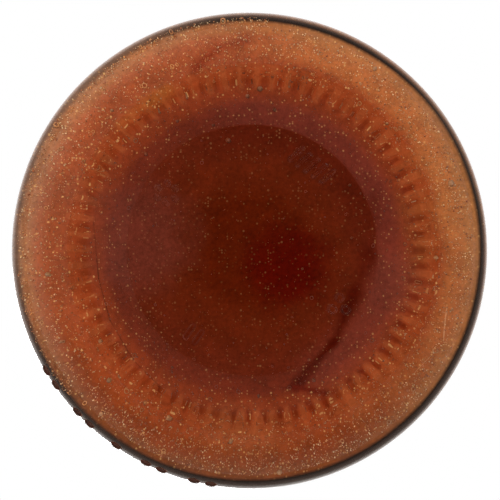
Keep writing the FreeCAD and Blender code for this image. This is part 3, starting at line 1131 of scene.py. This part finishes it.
@dataclass
class Grains:
    """Scattered grains between the paste and the glass, and the bright rings of bubbles there, drawn as
    painted highlights.

    Sizes run from small to large, most of them small. Under the jar, the higher outward is, the
    nearer to the heel they gather. None lie in the heel's shade, which starts higher on the lit side.
    """

    name: str
    count: int
    small: float
    large: float
    flat: float
    seed: int
    outward: float = 0.0
    ringed: bool = False
    under_share: float = 0.55
    shade_r: float = 32.4
    lit_shade_r: float = 33.2
    lit_side: float = 28.0
    least_kept: float = 0.008
    side_low: float = 13.2
    side_high: float = 60.0
    stand_out: float = 0.08
    glass: Glass = field(default_factory=Glass)

    def stays(self, share: float, r: float) -> float:
        """The chance that a grain stays where it fell, this share of the way out and at this radius."""
        kept = self.least_kept + (1 - self.least_kept) * share**self.outward
        return kept * (1 - 0.12 * smooth(29.0, 32.0, r))

    def place(self, chance: random.Random) -> tuple[Vector, Vector]:
        """Draws a place on the paste behind the glass.

        Args:
            chance: the grains' own random draws.

        Returns:
            The place, and the way that it faces.
        """
        g = self.glass
        angle = chance.uniform(0, math.tau)
        if chance.random() >= self.under_share:
            z = chance.uniform(self.side_low, self.side_high)
            out = Vector((math.cos(angle), math.sin(angle), 0))
            return Vector((g.inner_r * out.x, g.inner_r * out.y, z)), out
        lit = math.cos(angle - math.radians(self.lit_side)) > 0.4
        edge = self.lit_shade_r if lit else self.shade_r
        r = edge * math.sqrt(chance.random())
        while chance.random() > self.stays(r / edge, r):
            r = edge * math.sqrt(chance.random())
        tilt = math.asin(min(0.84, max(0.0, (r - (g.inner_r - g.floor_round)) / g.floor_round)))
        z = g.floor_edge_z + g.floor_round * (1 - math.cos(tilt))
        if r < g.floor_edge_r:
            z = g.floor_z + (g.floor_edge_z - g.floor_z) * r / g.floor_edge_r
        out = Vector((math.cos(angle) * math.sin(tilt), math.sin(angle) * math.sin(tilt), -math.cos(tilt)))
        return Vector((r * math.cos(angle), r * math.sin(angle), z)), out

    def one(self) -> tuple[np.ndarray, np.ndarray]:
        """Makes one grain of size 1, or the bright ring that a bubble shows: a painted highlight round its
        edge.

        Returns:
            Its points and its triangles.
        """
        bm = bmesh.new()
        if self.ringed:
            upright = Matrix.Rotation(math.pi / 2, 4, "X")
            wire = bmesh.ops.create_circle(bm, segments=4, radius=0.2, matrix=upright)["verts"]
            bmesh.ops.translate(bm, vec=(0.8, 0, 0), verts=wire)
            bmesh.ops.spin(
                bm, geom=bm.verts[:] + bm.edges[:], cent=(0, 0, 0), axis=(0, 0, 1), dvec=(0, 0, 0),
                angle=math.tau, steps=12, use_merge=True,
            )
            bmesh.ops.triangulate(bm, faces=bm.faces[:])
            bmesh.ops.recalc_face_normals(bm, faces=bm.faces[:])
        else:
            bmesh.ops.create_icosphere(bm, subdivisions=1, radius=1.0)
        bm.verts.ensure_lookup_table()
        points = np.array([v.co[:] for v in bm.verts])
        faces = np.array([[v.index for v in f.verts] for f in bm.faces])
        bm.free()
        return points, faces

    def build(self, finish: Material) -> bpy.types.Object:
        """Stamps one small grain at every place.

        Args:
            finish: the grains' material.

        Returns:
            All the grains as one piece.
        """
        points, faces = self.one()
        chance = random.Random(self.seed)
        all_points, all_faces = [], []
        for i in range(self.count):
            spot, out = self.place(chance)
            size = self.small + (self.large - self.small) * chance.random() ** 2.5
            turn = out.to_track_quat("Z", "Y").to_matrix()
            spin = Matrix.Rotation(chance.uniform(0, math.tau), 3, "Z")
            stretch = Matrix.Diagonal((size * chance.uniform(0.7, 1.3), size, size * self.flat))
            shape = np.array((turn @ spin @ stretch).to_3x3()) @ points.T
            all_points.append(shape.T + np.array(spot + out * self.stand_out))
            all_faces.append(faces + i * len(points))
        mesh = bpy.data.meshes.new(self.name)
        mesh.from_pydata((np.concatenate(all_points) * MM).tolist(), [], np.concatenate(all_faces).tolist())
        mesh.polygons.foreach_set("use_smooth", [True] * len(mesh.polygons))
        mesh.materials.append(finish)
        return add_to_scene(self.name, mesh)


@dataclass
class Lid:
    """The lug lid: stepped panel, safety button, skirt and rolled edge."""

    radius: float = 33.4
    top: float = 81.35
    bottom: float = 71.75
    metal: float = 0.45
    panel_r: float = 25.975
    step_in: float = 4.0
    step_run: float = 0.5
    button_r: float = 10.0
    button_edge_r: float = 12.0
    roll: float = 1.7
    lugs: int = 4
    lug_sweep: float = 22.0

    def pinch_lugs(self, verts: Sequence[BMVert]) -> None:
        """Presses the rolled edge in at each lug.

        Args:
            verts: the lid's vertices.
        """
        r, half, pitch = self.radius, math.radians(self.lug_sweep / 2), math.tau / self.lugs
        for v in verts:
            if v.co.z > self.bottom + 3:
                continue
            far, angle = polar(v)
            offset = abs((angle - half + pitch / 2) % pitch - pitch / 2)
            pinch = 1 - smooth(half * 0.8, half * 1.15, offset)
            inner = smooth(r - 0.8, r - 1.6, far) if far < r - 0.8 else 0.0
            low = 1 - smooth(self.bottom + self.roll, self.bottom + 3, v.co.z)
            widen(v, (far - pinch * low * (0.18 + 1.1 * inner)) / far)

    def build(self, finish: Material) -> bpy.types.Object:
        """Turns the lid and pinches its four lugs.

        Args:
            finish: the lid's material.

        Returns:
            The lid, as one closed piece.
        """
        m, r, p, roll = self.metal, self.radius, self.panel_r, self.roll
        panel, middle = self.top - 1.1, self.top - 0.6
        button = middle - 0.6
        step_r = p - self.step_in
        line = [
            Corner(0, button),
            Corner(self.button_r, button, 2.0),
            Corner(self.button_edge_r, middle, 2.0),
            Corner(step_r - self.step_run, middle, 0.5),
            Corner(step_r, panel, 0.5),
            Corner(p, panel, 0.5),
            Corner(p + 0.9, self.top, 0.6),
            Corner(r, self.top, 1.6),
            Corner(r, self.bottom, 0.84),
            Corner(r - roll, self.bottom, 0.84),
            Corner(r - roll, self.bottom + roll, 0.7),
            Corner(r - m, self.bottom + roll),
            Corner(r - m, self.top - m, 1.1),
            Corner(p + 0.9 + m / 2, self.top - m, 0.2),
            Corner(p + m / 2, panel - m, 0.2),
            Corner(step_r - m / 2, panel - m, 0.2),
            Corner(step_r - self.step_run - m / 2, middle - m, 0.2),
            Corner(self.button_edge_r, middle - m, 1.0),
            Corner(self.button_r, button - m, 1.0),
            Corner(0, button - m),
        ]
        bm = bmesh.new()
        self.pinch_lugs(turn_section(bm, line, 1.6, 0.3, 24, 12))
        return to_object(bm, "lug_lid", finish)


# Studio


@dataclass
class Studio:
    """White surround, pale floor, soft lamps and the camera under the jar.

    The room is what the glass mirrors, as height from 0 to 1, tone and strength. A lamp is its name,
    its place and size in millimetres and its power in watts.
    """

    camera_distance: float = 340.0
    aim: tuple = (0.0, 0.0, 8.0)
    lean_x: float = 3.8
    lean_y: float = -1.2
    lens: float = 159.5
    shift_x: float = -0.0016
    shift_y: float = 0.0004
    ambient: float = 0.8
    floor_mirrored: float = 0.3
    floor_colour: str = "#f4f3f1"
    room: tuple = (
        (0.0, "#ffd6bf", 0.0),
        (1.0, "#ffffff", 1.0),
        (0.02, "#ffd6bf", 0.0),
        (0.2, "#ffd6bf", 0.28),
        (0.42, "#ffd6bf", 0.26),
        (0.62, "#ffd9c4", 0.12),
        (0.82, "#f4d4c4", 0.42),
        (0.93, "#fff4ec", 0.85),
    )
    lamps: tuple = (
        ("key_lamp", (500, 600, 500), 500, 4.2),
        ("fill_lamp", (-700, 300, 400), 500, 2.0),
        ("front_lamp", (-200, -800, 500), 500, 3.0),
        ("top_lamp", (60, -120, 900), 260, 1.6),
        ("under_lamp", (350, 350, -500), 300, 2.6),
    )
    mirrored_lamps: tuple = ("top_lamp",)

    def make_camera(self) -> None:
        """Puts the camera under the jar, looking up, with +Y at the top of the picture."""
        data = bpy.data.cameras.new("camera_under_base")
        data.lens = self.lens
        data.sensor_width = 36.0
        data.shift_x, data.shift_y = self.shift_x, self.shift_y
        data.clip_start, data.clip_end = 0.01, 20.0
        camera = add_to_scene("camera_under_base", data)
        lean = (math.tan(math.radians(self.lean_x)), math.tan(math.radians(self.lean_y)), -1)
        back = Vector(lean).normalized()
        place = (Vector(self.aim) + back * self.camera_distance) * MM
        right = Vector((0, 1, 0)).cross(back).normalized()
        axes = Matrix((right, back.cross(right), back)).transposed()
        camera.matrix_world = Matrix.Translation(place) @ axes.to_4x4()
        bpy.context.scene.camera = camera

    def make_world(self) -> None:
        """A white surround for what looks at it, a plainer one for what it lights, and the room.

        The room is an unlit one under the camera, with warm dim walls beside the jar and the white
        screen straight above it.
        """
        world = bpy.data.worlds.new("studio_surround")
        bpy.context.scene.world = world
        world.use_nodes = True
        world.node_tree.nodes.clear()
        add = partial(add_node, world.node_tree)
        way = add("SeparateXYZ", add("TexCoord").outputs["Generated"]).outputs[2]
        down = add("Math", way, -1.0, operation="MULTIPLY")
        ramp = add("ValToRGB", add("Math", down, -0.5, 0.5, operation="MULTIPLY_ADD"))
        stops = [(level, [c * strength for c in linear(tone)[:3]]) for level, tone, strength in self.room]
        paint_ramp(ramp, [(level, colour + [1.0]) for level, colour in stops])
        ray = add("LightPath").outputs
        first = add("Math", ray["Diffuse Depth"], 0.5, operation="LESS_THAN")
        through = add("Math", ray["Is Transmission Ray"], first, operation="MULTIPLY")
        clear = add("Math", ray["Is Camera Ray"], through, operation="MAXIMUM")
        white = add("Background", (1, 1, 1, 1), add("Math", clear, self.ambient, operation="MAXIMUM"))
        gloss = add("Math", ray["Is Glossy Ray"], first, operation="MULTIPLY")
        others = add("Math", 1.0, clear, operation="SUBTRACT")
        only_gloss = add("Math", gloss, others, operation="MULTIPLY")
        add("OutputWorld", add("MixShader", only_gloss, white, add("Background", ramp)))

    def floor_finish(self) -> Material:
        """Makes the floor's material, which is seen from above only and fades out around the jar.

        Mirrored in the heel, the floor is a thin veil over the paste: the glass shows it at part
        strength.

        Returns:
            The material.
        """
        material, add = new_material("pale_floor")
        coords = add("TexCoord").outputs["Object"]
        far = add("VectorMath", coords, operation="LENGTH").outputs["Value"]
        fade = add("MapRange", far, 0.16, 0.5, **EASED)
        ray = add("LightPath").outputs
        mirrored = add("Math", ray["Is Glossy Ray"], self.floor_mirrored, operation="MULTIPLY")
        looks = add("Math", mirrored, ray["Is Transmission Ray"], operation="MAXIMUM")
        looks = add("Math", ray["Is Camera Ray"], looks, operation="MAXIMUM")
        first = add("Math", ray["Diffuse Depth"], 0.5, operation="LESS_THAN")
        above = add("Math", 1.0, add("NewGeometry").outputs["Backfacing"], operation="SUBTRACT")
        shown = add("Math", add("Math", looks, first, operation="MULTIPLY"), above, operation="MULTIPLY")
        hidden = add("Math", add("Math", 1.0, shown, operation="SUBTRACT"), fade, operation="MAXIMUM")
        sheet = add("BsdfDiffuse", linear(self.floor_colour))
        add("OutputMaterial", add("MixShader", hidden, sheet, add("BsdfTransparent")))
        return material

    def make_floor(self) -> bpy.types.Object:
        """Makes a pale floor round the foot of the jar, which keeps its shadow.

        Returns:
            The floor.
        """
        bm = bmesh.new()
        turn_section(bm, [Corner(28.0, 0), Corner(600.0, 0)], 60.0, 1.0, 24, 4)
        bmesh.ops.scale(bm, vec=(MM, MM, MM), verts=bm.verts[:])
        bm.normal_update()
        if bm.faces[:][0].normal.z < 0:
            bmesh.ops.reverse_faces(bm, faces=bm.faces[:])
        mesh = bpy.data.meshes.new("floor")
        bm.to_mesh(mesh)
        bm.free()
        mesh.materials.append(self.floor_finish())
        return add_to_scene("floor", mesh)

    def make_lamp(self, name: str, place: tuple, size: float, power: float) -> None:
        """Adds a square soft lamp that faces the jar.

        Args:
            name: the lamp's name.
            place: where it stands, in millimetres.
            size: its side, in millimetres.
            power: its power in watts.
        """
        data = bpy.data.lights.new(name, "AREA")
        data.shape = "SQUARE"
        data.size = size * MM
        data.energy = power
        lamp = add_to_scene(name, data)
        lamp.location = Vector(place) * MM
        lamp.rotation_mode = "QUATERNION"
        lamp.rotation_quaternion = (Vector((0, 0, 40)) * MM - lamp.location).to_track_quat("-Z", "Y")
        lamp.visible_transmission = False
        lamp.visible_glossy = name in self.mirrored_lamps

    def build(self) -> None:
        """Sets up the whole studio."""
        self.make_camera()
        self.make_world()
        self.make_floor()
        for lamp in self.lamps:
            self.make_lamp(*lamp)
        bpy.context.scene.view_settings.view_transform = "Standard"


# Making


def main() -> None:
    """Builds the jar's pieces, dresses the CAD pieces that stay, and sets up the studio."""
    logging.basicConfig(level=logging.INFO, format="%(name)s: %(message)s")
    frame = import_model()
    Studio().build()
    glass = Glass()
    clear = SodaLimeGlass().make()
    # The heel's dots and the steep edges of the marks get darker tinted glass: painted shade.
    dots = SodaLimeGlass("painted_shade_dot_glass", "#2a1e16").make()
    marks = SodaLimeGlass("painted_shade_mark_glass", "#d8c0b4").make()
    pieces = [
        (glass.build(clear, dots, marks), "jar", "clear_glass"),
        (SoupBase(glass=glass).build(SoupPaste().make()), "soup_base", "soup_paste"),
        (Lid().build(Lacquer().make()), "lid", "black_lacquered_steel"),
    ]
    for piece, node, slot in pieces:
        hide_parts(node)
        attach(piece, "root")
        LOG.info("%s stands for %s", piece.name, node)
    gold = PlainSkin("gold_grain", "#dd9152", 0.35, inner="#7e2e10").make()
    pale = PlainSkin("pale_grain", "#ffdaa8", 0.3, inner="#883a1c").make()
    spice = PlainSkin("spice_fleck", "#5a2410", 0.6, inner="#3c1206").make()
    fat = PlainSkin("fat_grain", "#c98a58", 0.35, inner="#783618").make()
    amber = PlainSkin("amber_grain", "#b5602c", 0.4, inner="#742a10").make()
    for grains, finish in (
        (Grains("gold_grains", 6800, 0.04, 0.12, 0.6, 5, 11.0), gold),
        (Grains("pale_grains", 6600, 0.035, 0.11, 0.6, 8, 9.5), pale),
        (Grains("amber_grains", 4200, 0.05, 0.16, 0.6, 13, 5.0), amber),
        # The bubbles are gold rings: painted highlights round their edges.
        (Grains("air_bubble_highlight_rings", 260, 0.16, 0.4, 0.4, 21, 3.0, ringed=True), gold),
        (Grains("spice_flecks", 700, 0.12, 0.36, 0.35, 34, 1.5, under_share=0.0), spice),
        (Grains("fat_grains", 1400, 0.12, 0.5, 0.4, 55, 1.5, under_share=0.04), fat),
    ):
        piece = grains.build(finish)
        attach(piece, "root")
        LOG.info("%s: %d grains", piece.name, grains.count)
    seal_finish = PlainSkin("sealing_compound", "#d8d4c8", 0.6).make()
    for slot in frame["nodes"]["seal"].material_slots:
        slot.material = seal_finish


if __name__ == "__main__":
    main()
